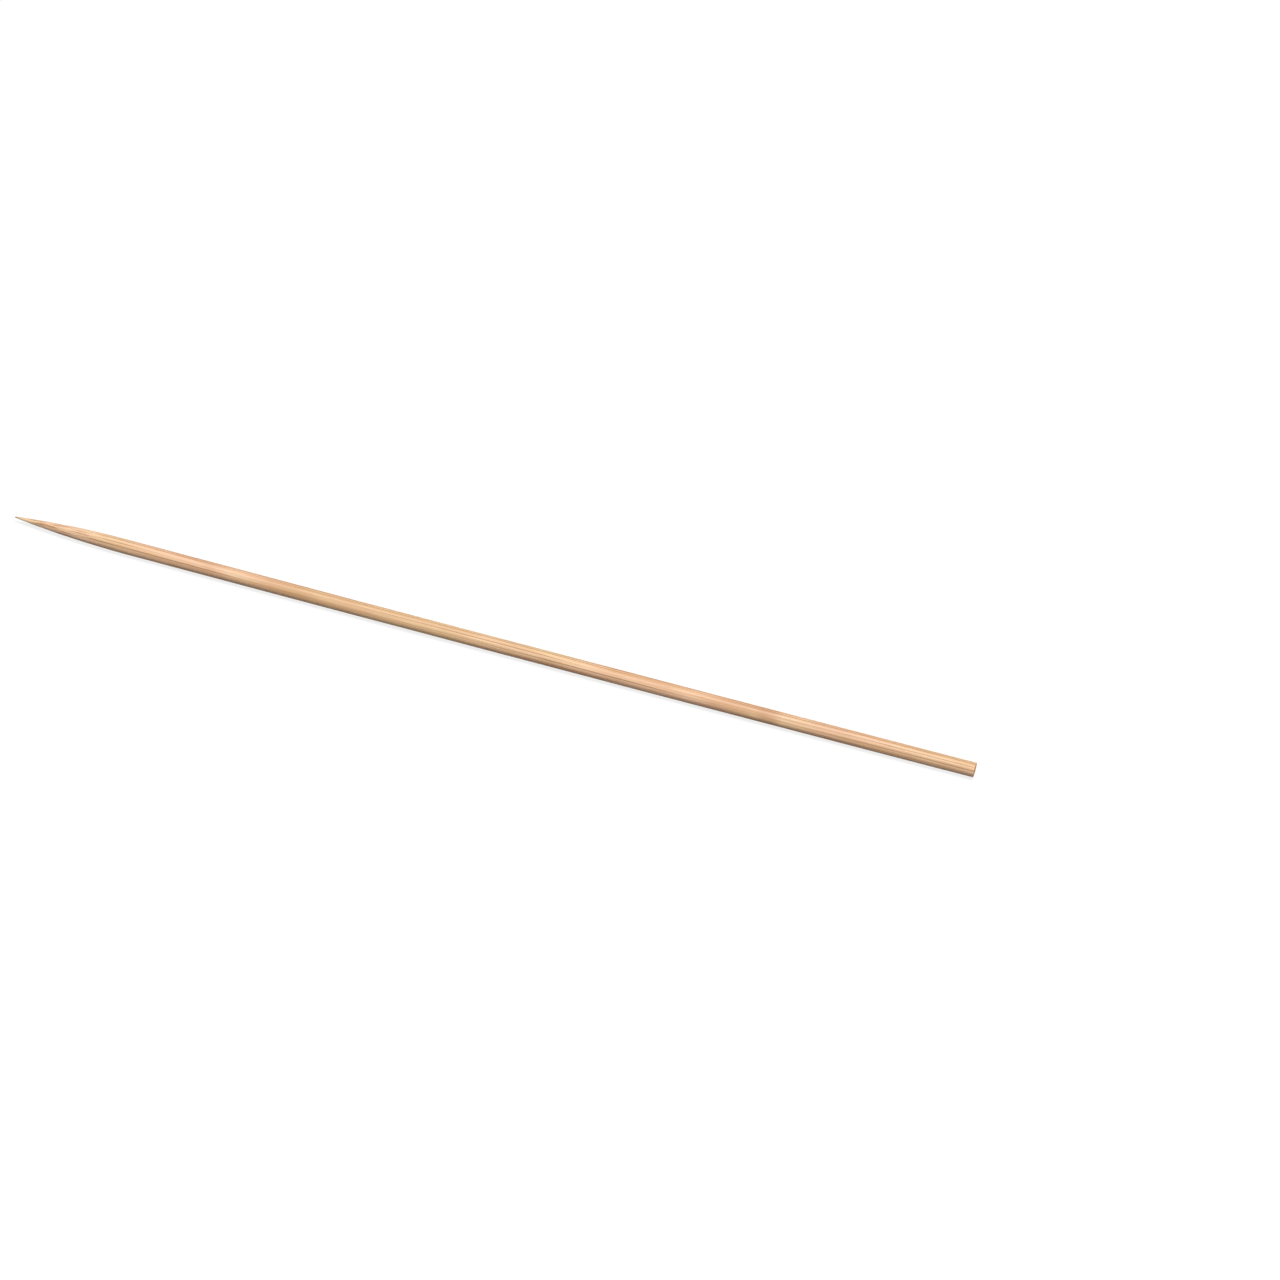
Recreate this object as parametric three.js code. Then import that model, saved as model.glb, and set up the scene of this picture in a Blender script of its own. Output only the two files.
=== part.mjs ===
// A bamboo skewer: one round stick, ground to a point at one end and sawn square at the other.
// All sizes are in millimetres.
//
// The stick lies along X on the plane z = 0, point towards -X and butt towards +X, and the
// middle of its footprint is at the origin. It is split from the wall of a bamboo culm, drawn
// through a round cutter and tumbled, so its section is a plain circle all the way down. The
// little bow that the bamboo springs into lies in the plane that the stick lies on.

import * as THREE from "three";

// The stick
const LENGTH = 200; // from the nose of the point to the face of the butt
const DIAMETER = 3;
const BOW = 0.25; // how far the middle of the stick lies to the side of its ends

// The point
const POINT_LENGTH = 24; // from the nose to the full shank
const POINT_FULLNESS = 2.1; // 1 is a straight cone, and more runs out slowly into the shank
const NOSE_RADIUS = 0.15; // fibres can't be ground to a finer end

// The butt
const BUTT_CHAMFER = 0.12; // what tumbling rubs off the sawn edge

// How finely the surface is divided
const FACETS_ROUND = 32;
const NOSE_RINGS = 3;
const POINT_RINGS = 20;
const RING_PITCH = 5; // along the shank

const shankRadius = DIAMETER / 2;

// The point's outline: distance from the axis, and distance from the nose.
function pointOutline() {
  const startSlope = Math.atan((POINT_FULLNESS * shankRadius) / POINT_LENGTH);
  const start = new THREE.Vector2(
    NOSE_RADIUS * Math.cos(startSlope),
    NOSE_RADIUS * (1 - Math.sin(startSlope)),
  );
  const outline = [];
  for (let ring = 0; ring < NOSE_RINGS; ring++) {
    const turn = ((Math.PI / 2 - startSlope) * ring) / NOSE_RINGS;
    outline.push(new THREE.Vector2(NOSE_RADIUS * Math.sin(turn), NOSE_RADIUS * (1 - Math.cos(turn))));
  }
  for (let ring = 0; ring < POINT_RINGS; ring++) {
    const along = ring / POINT_RINGS;
    const risen = 1 - (1 - along) ** POINT_FULLNESS;
    outline.push(
      new THREE.Vector2(
        THREE.MathUtils.lerp(start.x, shankRadius, risen),
        THREE.MathUtils.lerp(start.y, POINT_LENGTH, along),
      ),
    );
  }
  return outline;
}

// The rest of the outline: the shank in even steps, the rubbed edge and the sawn face.
function shankOutline() {
  const end = LENGTH - BUTT_CHAMFER;
  const steps = Math.ceil((end - POINT_LENGTH) / RING_PITCH);
  const outline = [];
  for (let step = 0; step <= steps; step++) {
    outline.push(new THREE.Vector2(shankRadius, THREE.MathUtils.lerp(POINT_LENGTH, end, step / steps)));
  }
  outline.push(new THREE.Vector2(shankRadius - BUTT_CHAMFER, LENGTH), new THREE.Vector2(0, LENGTH));
  return outline;
}

// The outline is turned on the lathe, laid along X, and bowed sideways.
function stickGeometry() {
  const geometry = new THREE.LatheGeometry([...pointOutline(), ...shankOutline()], FACETS_ROUND);
  geometry.rotateZ(-Math.PI / 2);
  const position = geometry.getAttribute("position");
  for (let i = 0; i < position.count; i++) {
    const share = position.getX(i) / LENGTH;
    const bow = BOW * (0.5 - 4 * share * (1 - share));
    position.setY(i, position.getY(i) + bow);
  }
  geometry.translate(-LENGTH / 2, 0, shankRadius);
  geometry.computeVertexNormals();
  return geometry;
}

const bamboo = new THREE.MeshStandardMaterial({ color: 0xe2b589, roughness: 0.55, metalness: 0 });

const skewer = new THREE.Mesh(stickGeometry(), bamboo);
skewer.name = "skewer";

const part = new THREE.Group();
part.add(skewer);

export default part;
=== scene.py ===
import math

import bpy
import numpy as np
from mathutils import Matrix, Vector, noise
from mathutils.geometry import delaunay_2d_cdt


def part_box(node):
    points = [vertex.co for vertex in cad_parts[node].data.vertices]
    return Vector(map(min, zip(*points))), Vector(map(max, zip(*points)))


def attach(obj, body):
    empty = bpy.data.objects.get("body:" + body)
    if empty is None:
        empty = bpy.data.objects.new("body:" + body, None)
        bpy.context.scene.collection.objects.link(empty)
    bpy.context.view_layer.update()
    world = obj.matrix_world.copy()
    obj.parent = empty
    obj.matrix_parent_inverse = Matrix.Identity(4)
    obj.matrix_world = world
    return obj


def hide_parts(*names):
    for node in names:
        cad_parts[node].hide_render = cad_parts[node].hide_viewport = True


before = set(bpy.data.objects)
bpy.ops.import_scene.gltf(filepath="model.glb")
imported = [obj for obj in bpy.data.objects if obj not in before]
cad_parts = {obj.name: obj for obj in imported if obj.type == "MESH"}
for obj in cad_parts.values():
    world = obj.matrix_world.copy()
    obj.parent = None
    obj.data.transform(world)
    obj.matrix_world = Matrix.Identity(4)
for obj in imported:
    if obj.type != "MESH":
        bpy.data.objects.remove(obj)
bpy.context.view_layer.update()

# Camera
# The stick is seen from high up and a little from its butt's end, through a long lens. It runs
# nearly straight across the picture: point at the far left, butt lower down on the right.

camera_turn = math.radians(16.85)
camera_height = math.radians(60)
camera_distance = 0.95462
camera_aim = Vector((0.028576, 0.01006, 0))
camera_back = Vector(
    (
        math.sin(camera_turn) * math.cos(camera_height),
        -math.cos(camera_turn) * math.cos(camera_height),
        math.sin(camera_height),
    )
)
camera_lens = bpy.data.cameras.new("camera")
camera_lens.lens = 135
camera_lens.sensor_width = 36
camera = bpy.data.objects.new("camera", camera_lens)
camera.location = camera_aim + camera_back * camera_distance
camera.rotation_mode = "QUATERNION"
camera.rotation_quaternion = (-camera_back).to_track_quat("-Z", "Y")
bpy.context.collection.objects.link(camera)
bpy.context.scene.camera = camera

# Skewer
# One stick of bamboo. It is split from the wall of a culm, pulled through a round cutter that
# leaves a faint flat down two sides, cross-cut with a saw, and spun against a grinding belt for
# its point. Nothing is put on it: the colour is the bamboo's own.

low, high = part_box("skewer")
length = (high.x - low.x) * 1000
diameter = (high.z - low.z) * 1000
bow = (high.y - low.y) * 1000 - diameter
point_length = 24
point_fullness = 2.1  # 1 is a straight cone, and more runs out slowly into the shank
nose_radius = 0.15
rim = 0.12  # what tumbling rubs off the sawn edge
flat_width = 0.5
flat_turn = math.radians(38)  # where one of the flats lies round the stick
flat_reach = 0.5  # radians to each side of a flat's middle, past which nothing of it is left
skin_turn = math.radians(60)  # the side that was nearest to the culm's skin


def grain(t, side, up, stretch, per_mm, start):
    # Chance from -1 to 1 that changes once in this stretch along the stick, t mm from the nose,
    # and so many times per mm across it
    return noise.noise(Vector((t / stretch, side * per_mm, up * per_mm + start)))


# The wall of a culm is soft pith with hard strands in it. Towards the skin they are thinner and
# lie closer. Each has a place across and out from the stick's middle, a radius and a sway.
drift_width = 0.15
drift_length = 40
sway_width = 0.04
sway_length = 14
chance = np.random.default_rng(11)
strand_rows = []
under_skin = 0.05
while under_skin < diameter:
    gap = 0.36 + 0.08 * under_skin
    across = np.arange(-diameter / 2, diameter / 2 + gap, gap) + chance.uniform(-gap, 0)
    count = len(across)
    strand_rows.append(
        [
            across + chance.normal(0, 0.13 * gap, count),
            diameter / 2 - under_skin + chance.normal(0, 0.13 * gap, count),
            0.27 * gap * chance.uniform(0.75, 1.2, count),
            chance.uniform(0, 2 * math.pi, count),
        ]
    )
    under_skin += 0.85 * gap
strand_across, strand_out, strand_radius, strand_sway = np.concatenate(strand_rows, axis=1)


def strand_share(t, side, up):
    # 0 in the pith and 1 in the middle of a strand. Along the stick the strands drift to one side
    # together, and each sways a little by itself.
    across = side * math.sin(skin_turn) - up * math.cos(skin_turn)
    out = side * math.cos(skin_turn) + up * math.sin(skin_turn)
    across = across + drift_width * grain(t, 0, 0, drift_length, 1, 1)
    sway = sway_width * np.sin(t / sway_length + strand_sway)
    away = np.hypot(across[:, None] - strand_across - sway, out[:, None] - strand_out + sway)
    return np.clip(1.5 - away / strand_radius, 0, 1).max(axis=1)


def blank_radius(t):
    # The smooth stick that the cutter and the belt aim at
    start_slope = math.atan(point_fullness * diameter / 2 / point_length)
    start_t = nose_radius * (1 - math.sin(start_slope))
    if t < start_t:
        return math.sqrt(max(nose_radius**2 - (nose_radius - t) ** 2, 0))
    start = nose_radius * math.cos(start_slope)
    along = min((t - start_t) / (point_length - start_t), 1)
    return start + (diameter / 2 - start) * (1 - (1 - along) ** point_fullness)


# How deep the surface lies below the blank, in mm
cut_depth = 0.022
wave_depth = 0.018
fibre_depth = 0.014
strand_height = 0.012
split_depth = 0.03
facet_depth = 0.03
ring_depth = 0.014
facet_count = 5


def fibre_surface(t, side, up, strand):
    # The cutter leaves slow waves and the fibres, with the hard strands a little proud
    wave = grain(t, side, up, 17, 0.6, 3)
    fibre = grain(t, side, up, 30, 4.7, 0) + 0.6 * grain(t, side, up, 14, 9.5, 7)
    return cut_depth + wave_depth * wave + fibre_depth * fibre - strand_height * strand


def split(t, side, up):
    # The fibres have parted here and there
    seam = 1 - abs(grain(t, side, up, 70, 2.6, 31)) / 0.07
    open_here = grain(t, side, up, 12, 1, 17) * 3 - 0.3
    return split_depth * max(seam, 0) * min(max(open_here, 0), 1)


def cutter_flat(t, turn, r, depth):
    # The two halves of the cutter leave a flat where they meet, more in some places than others.
    # The belt grinds it off the point.
    from_flat = (turn - flat_turn + math.pi / 2) % math.pi - math.pi / 2
    if abs(from_flat) >= flat_reach or t <= point_length * 0.8:
        return depth
    there = 0.5 + 0.5 * math.tanh(3 * grain(t, round(math.sin(turn)), 0, 30, 1, 11) + 1)
    sunk = r * (1 - math.cos(flat_width / diameter) / math.cos(from_flat))
    return max(depth, there * sunk + 0.4 * depth)


def belt_marks(t, turn, r, side, up):
    # The belt leaves long shallow facets and rings round the point
    on_point = min(max((point_length - t) / 4, 0), 1)
    facet = 0.5 + 0.5 * math.cos(facet_count * turn + 1.5 * grain(t, 0, 0, 4, 1, 5))
    ring = 0.5 + 0.5 * grain(t, side, up, 1 / 4.5, 0.5, 9)
    return on_point * min(r, 0.9) * (facet_depth * facet + ring_depth * ring)


def worn(t, turn, r, strand):
    side, up = r * math.cos(turn), r * math.sin(turn)
    depth = fibre_surface(t, side, up, strand) + split(t, side, up)
    depth = cutter_flat(t, turn, r, depth) + belt_marks(t, turn, r, side, up)
    return min(max(depth, 0), 0.3 * r)


def laid(t, side, up):
    # Places in the straight stick, in mm, as they lie in the bowed one, in metres
    share = t / length
    sideways = side + bow * (0.5 - 4 * share * (1 - share))
    return np.column_stack([low.x + (t + 0 * side) / 1000, sideways / 1000, (up + diameter / 2) / 1000])


# The skin is rings of points: close on the nose, the point and the rubbed rim of the butt
round_steps = 192
ring_pitch = 0.6
turns = np.arange(round_steps) * 2 * math.pi / round_steps
nose_stations = [nose_radius * (1 - math.cos(k * 0.26)) for k in range(1, 6)]
point_stations = np.linspace(nose_stations[-1] + 0.03, point_length, 130)
shank_stations = np.arange(point_length + ring_pitch, length - 0.7, ring_pitch)
rim_stations = length - rim * np.array([3.2, 2.2, 1.5, 1.1, 0.8, 0.55, 0.35, 0.18, 0.06])
stations = [*nose_stations, *point_stations, *shank_stations, *rim_stations]
rub = [grain(3 * math.cos(turn), 3 * math.sin(turn), 0, 1, 1, 21) for turn in turns]
rubbed = rim * (1 + 0.45 * np.array(rub))

middle = np.zeros(1)
points, marks = [laid(0, middle, middle)], [middle]
for t in stations:
    r = blank_radius(t)
    strand = strand_share(t, r * np.cos(turns), r * np.sin(turns))
    left = np.array([r - worn(t, turn, r, mark) for turn, mark in zip(turns, strand)])
    past = np.clip(1 - (length - t) / rubbed, 0, 1)
    left -= rubbed * (1 - np.sqrt(1 - past**2))
    points.append(laid(t, left * np.cos(turns), left * np.sin(turns)))
    marks.append(strand)

faces = [(0, 1 + (j + 1) % round_steps, 1 + j) for j in range(round_steps)]
for i in range(len(stations) - 1):
    a, b = 1 + i * round_steps, 1 + (i + 1) * round_steps
    for j in range(round_steps):
        k = (j + 1) % round_steps
        faces.append((a + j, a + k, b + k, b + j))

# The sawn face: the saw scrapes low ridges across it, the hard strands stand proud, and the
# pith between them is torn out a little.
spacing = 0.055
least_depth = 0.006
ridge_depth = 0.008
torn_depth = 0.03
edge_width = 0.2
reach = int(diameter / spacing)
inside = [
    (column * spacing + (row % 2) * spacing / 2, row * spacing * 0.866)
    for row in range(-reach, reach + 1)
    for column in range(-reach, reach + 1)
]
inside = [(side, up) for side, up in inside if math.hypot(side, up) < left.min() - 0.03]
rim_points = [*zip(left * np.cos(turns), left * np.sin(turns))]
sawn_points = [Vector(place) for place in [*rim_points, *inside]]
_, _, triangles, sources, _, _ = delaunay_2d_cdt(sawn_points, [], [range(round_steps)], 1, 1e-6)
sawn_faces = [[sources[corner][0] for corner in triangle] for triangle in triangles]

side, up = np.array(inside).T
strand = strand_share(length, side, up)
from_edge = np.clip((left.min() - np.hypot(side, up)) / edge_width, 0, 1)
sunk = []
for s, u, mark, inwards in zip(side, up, strand, from_edge):
    ridge = 0.5 + 0.5 * math.sin(26 * (s * 0.8 + u * 0.6) + 2 * grain(s, u, 0, 1, 1, 2))
    torn = 0.5 + 0.5 * grain(s * 5, u * 5, 0, 1, 1, 8)
    depth = ridge_depth * ridge + inwards * (torn_depth * torn * (1 - mark) + least_depth)
    sunk.append(least_depth + depth)
points.append(laid(length - np.array(sunk), side, up))
marks.append(strand)
last_ring = 1 + (len(stations) - 1) * round_steps
faces.extend([last_ring + corner for corner in triangle] for triangle in sawn_faces)

# The skin lies flat in five rows of 40 mm, and the sawn face beside itself above them
rows = 5
row_length = length / rows
row_height = 0.184
margin = 0.01
face_place = Vector((0.05, 0.96))
face_scale = 0.023


def on_row(t, j, row):
    along = (t - row * row_length) / row_length
    around = j / round_steps
    return (
        margin + along * (1 - 2 * margin),
        row * row_height + margin + around * (row_height - 2 * margin),
    )


skin_layout = []
for j in range(round_steps):
    nose_side = [on_row(stations[0], j + 1, 0), on_row(stations[0], j, 0)]
    skin_layout.append([on_row(0, j + 0.5, 0), *nose_side])
for t, next_t in zip(stations, stations[1:]):
    row = min(int((t + next_t) / 2 / row_length), rows - 1)
    for j in range(round_steps):
        near_side = [on_row(t, j, row), on_row(t, j + 1, row)]
        far_side = [on_row(next_t, j + 1, row), on_row(next_t, j, row)]
        skin_layout.append([*near_side, *far_side])
for triangle in sawn_faces:
    skin_layout.append([face_place + sawn_points[corner] * face_scale for corner in triangle])

stick_mesh = bpy.data.meshes.new("bamboo_stick")
stick_mesh.from_pydata(np.concatenate(points).tolist(), [], faces)
stick_mesh.shade_smooth()
stick_mesh.attributes.new("strand", "FLOAT", "POINT").data.foreach_set("value", np.concatenate(marks))
uv_map = stick_mesh.uv_layers.new(name="OFBake")
layout_numbers = [number for corners in skin_layout for corner in corners for number in corner]
uv_map.data.foreach_set("uv", layout_numbers)
stick_mesh.validate()
stick = bpy.data.objects.new("bamboo_stick", stick_mesh)
bpy.context.collection.objects.link(stick)

# Bamboo: pale pith with darker strands in it. The strands run the length of the stick as
# streaks, come out of the ground point as long ovals, and end in the sawn face as dots.
bamboo = bpy.data.materials.new("bamboo")
bamboo.use_nodes = True
tree = bamboo.node_tree
tree.nodes.clear()


def add(kind, **settings):
    # A node in the material that is being made
    made = tree.nodes.new(kind)
    for name, value in settings.items():
        setattr(made, name, value)
    return made


def join(source, target):
    tree.links.new(source, target)


def reckon(operation, *values):
    made = add("ShaderNodeMath", operation=operation)
    for socket, value in zip(made.inputs, values):
        if isinstance(value, (int, float)):
            socket.default_value = value
        else:
            join(value, socket)
    return made.outputs[0]


def ease(value, start, end, low_out=0.0, high_out=1.0):
    made = add("ShaderNodeMapRange", interpolation_type="SMOOTHSTEP")
    join(value, made.inputs["Value"])
    made.inputs["From Min"].default_value = start
    made.inputs["From Max"].default_value = end
    made.inputs["To Min"].default_value = low_out
    made.inputs["To Max"].default_value = high_out
    return made.outputs["Result"]


def shade(red, green, blue):
    # A colour given as 0 to 255, as the nodes want it
    shares = [c / 255 for c in (red, green, blue)]
    return (*[c / 12.92 if c <= 0.04045 else ((c + 0.055) / 1.055) ** 2.4 for c in shares], 1)


def stain(share, under, over):
    made = add("ShaderNodeMix", data_type="RGBA")
    join(share, made.inputs[0])
    for index, value in ((6, under), (7, over)):
        if isinstance(value, tuple):
            made.inputs[index].default_value = value
        else:
            join(value, made.inputs[index])
    return made.outputs[2]


place = add("ShaderNodeTexCoord").outputs["Object"]


def cloud(length_mm, width_mm, detail=2.0, rough=0.5):
    # Cloudy patches of about this length along the fibres and this width across them
    squeezed = add("ShaderNodeMapping")
    join(place, squeezed.inputs["Vector"])
    squeezed.inputs["Scale"].default_value = (1000 / length_mm, 1000 / width_mm, 1000 / width_mm)
    made = add("ShaderNodeTexNoise")
    join(squeezed.outputs["Vector"], made.inputs["Vector"])
    made.inputs["Scale"].default_value = 1
    made.inputs["Detail"].default_value = detail
    made.inputs["Roughness"].default_value = rough
    return made.outputs["Fac"]


fine_fibres = cloud(22, 0.13, detail=3, rough=0.6)
broad_fibres = cloud(45, 1.3)
patches = cloud(16, 4, detail=3)
flecks = ease(cloud(6, 0.075, detail=1), 0.66, 0.76)
creamy_to_pink = ease(cloud(24, 9, detail=1), 0.38, 0.62)
belt_scratches = cloud(0.11, 2.5)

strand = add("ShaderNodeAttribute", attribute_name="strand").outputs["Fac"]
strand_heart = ease(strand, 0.7, 1)

spot = add("ShaderNodeSeparateXYZ")
join(place, spot.inputs["Vector"])
from_nose = reckon("MULTIPLY_ADD", spot.outputs["X"], 1000, length / 2)
ground = ease(from_nose, point_length * 0.95, point_length * 0.6)
nose_tip = ease(from_nose, 2.2, 0.1)
out_of_wall = reckon("MULTIPLY", spot.outputs["Y"], 1000 * math.cos(skin_turn))
out_of_wall = reckon("MULTIPLY_ADD", spot.outputs["Z"], 1000 * math.sin(skin_turn), out_of_wall)
skin_side = ease(out_of_wall, 0, diameter)

# A dull patch lies across the stick here
dull_place = 158
from_dull = reckon("ABSOLUTE", reckon("SUBTRACT", from_nose, dull_place))
dull = ease(reckon("MULTIPLY_ADD", cloud(5, 0.5), -3, from_dull), 1.8, -0.8)

facing = add("ShaderNodeSeparateXYZ")
join(add("ShaderNodeNewGeometry").outputs["True Normal"], facing.inputs["Vector"])
sawn = ease(facing.outputs["X"], 0.6, 0.9)

creamy_pith = shade(248, 219, 170)
pink_pith = shade(253, 212, 182)
tan = shade(235, 192, 148)
brown = shade(188, 137, 92)
dark = shade(116, 74, 42)
patch_tan = shade(204, 152, 108)
dull_tan = shade(190, 140, 100)
ground_cream = shade(250, 222, 194)
saw_tan = shade(196, 152, 108)
strand_brown = reckon("MULTIPLY", strand, reckon("MULTIPLY_ADD", skin_side, 0.35, 0.3))
strand_brown = reckon("MULTIPLY_ADD", reckon("MULTIPLY", sawn, strand), 0.3, strand_brown)

colour = stain(creamy_to_pink, creamy_pith, pink_pith)
colour = stain(ease(broad_fibres, 0.3, 0.72), colour, tan)
colour = stain(reckon("MULTIPLY", ease(fine_fibres, 0.42, 0.78), 0.55), colour, brown)
colour = stain(reckon("MULTIPLY", flecks, 0.5), colour, dark)
colour = stain(reckon("MULTIPLY", ease(patches, 0.4, 0.68), 0.55), colour, patch_tan)
colour = stain(reckon("MULTIPLY", dull, 0.5), colour, dull_tan)
colour = stain(reckon("MULTIPLY", ground, 0.15), colour, ground_cream)
colour = stain(reckon("MULTIPLY", nose_tip, 0.5), colour, brown)
colour = stain(reckon("MULTIPLY", sawn, 0.25), colour, saw_tan)
colour = stain(strand_brown, colour, brown)
colour = stain(reckon("MULTIPLY", strand_heart, 0.5), colour, dark)

relief = reckon("MULTIPLY_ADD", fine_fibres, -0.55, reckon("MULTIPLY", strand, 0.35))
relief = reckon("SUBTRACT", relief, reckon("MULTIPLY", flecks, 0.6))
relief = reckon("ADD", relief, reckon("MULTIPLY", reckon("MULTIPLY", belt_scratches, ground), 0.8))
bump = add("ShaderNodeBump")
join(relief, bump.inputs["Height"])
bump.inputs["Strength"].default_value = 0.6
bump.inputs["Distance"].default_value = 0.00003

shader = add("ShaderNodeBsdfPrincipled")
shader.inputs["Specular IOR Level"].default_value = 0.5
join(colour, shader.inputs["Base Color"])
dry = reckon("MULTIPLY_ADD", sawn, 0.2, 0.36)
join(reckon("MULTIPLY_ADD", fine_fibres, 0.25, dry), shader.inputs["Roughness"])
join(bump.outputs["Normal"], shader.inputs["Normal"])
output = add("ShaderNodeOutputMaterial")
join(shader.outputs["BSDF"], output.inputs["Surface"])

stick_mesh.materials.append(bamboo)
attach(stick, "root")
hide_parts("skewer")

# Floor
# A plain white sheet under the stick, which keeps the stick's soft shadow. To the camera it is
# white all the way out. What it throws back at the stick is a dim warm grey.

floor_mesh = bpy.data.meshes.new("floor")
floor_mesh.from_pydata([(-3, -3, 0), (3, -3, 0), (3, 3, 0), (-3, 3, 0)], [], [(0, 1, 2, 3)])
floor = bpy.data.objects.new("floor", floor_mesh)
bpy.context.collection.objects.link(floor)
paper = bpy.data.materials.new("paper")
paper.use_nodes = True
tree = paper.node_tree
tree.nodes.clear()


def looked_at():
    # 1 for the camera's own look, and 1 for that or for a mirrored look
    rays = add("ShaderNodeLightPath").outputs
    mirrored = reckon("MAXIMUM", rays["Is Glossy Ray"], rays["Is Transmission Ray"])
    return rays["Is Camera Ray"], reckon("MAXIMUM", rays["Is Camera Ray"], mirrored)


warm_grey = (0.25, 0.2, 0.155, 1)
shadow_taking = (0.18, 0.18, 0.18, 1)  # what a shadow can take away from the white
white_near = 0.83
white_far = 1.0
by_camera, by_any = looked_at()
matt = add("ShaderNodeBsdfDiffuse")
join(stain(by_camera, warm_grey, shadow_taking), matt.inputs["Color"])
# The lamp's light falls off outwards, so the sheet glows more from 0.25 m to 0.9 m out
from_middle = add("ShaderNodeVectorMath", operation="LENGTH")
join(add("ShaderNodeTexCoord").outputs["Object"], from_middle.inputs[0])
white = ease(from_middle.outputs["Value"], 0.25, 0.9, white_near, white_far)
glow = add("ShaderNodeEmission")
glow.inputs["Color"].default_value = (1, 1, 1, 1)
join(reckon("MULTIPLY", by_any, white), glow.inputs["Strength"])
both = add("ShaderNodeAddShader")
join(matt.outputs["BSDF"], both.inputs[0])
join(glow.outputs["Emission"], both.inputs[1])
output = add("ShaderNodeOutputMaterial")
join(both.outputs["Shader"], output.inputs["Surface"])
floor_mesh.materials.append(paper)

# Light
# One large soft lamp nearly overhead, a little towards the butt and the far side, so that the
# sawn face and the near lower side lie in shade. A white room gives them a little light.

soft_light = bpy.data.lights.new("soft_lamp", "AREA")
soft_light.shape = "DISK"
soft_light.size = 0.6
soft_light.energy = 28
towards_lamp = Vector((0.1, 0.07, 0.96))
lamp_distance = 1.6
soft_lamp = bpy.data.objects.new("soft_lamp", soft_light)
soft_lamp.location = towards_lamp.normalized() * lamp_distance
soft_lamp.rotation_mode = "QUATERNION"
soft_lamp.rotation_quaternion = (-towards_lamp).to_track_quat("-Z", "Y")
bpy.context.collection.objects.link(soft_lamp)

room = bpy.data.worlds.new("room")
bpy.context.scene.world = room
room.use_nodes = True
tree = room.node_tree
tree.nodes.clear()
room_glow = 0.06
by_camera, by_any = looked_at()
air = add("ShaderNodeBackground")
air.inputs["Color"].default_value = (1, 1, 1, 1)
join(reckon("MULTIPLY_ADD", by_any, 1 - room_glow, room_glow), air.inputs["Strength"])
output = add("ShaderNodeOutputWorld")
join(air.outputs["Background"], output.inputs["Surface"])

bpy.context.scene.view_settings.view_transform = "Standard"
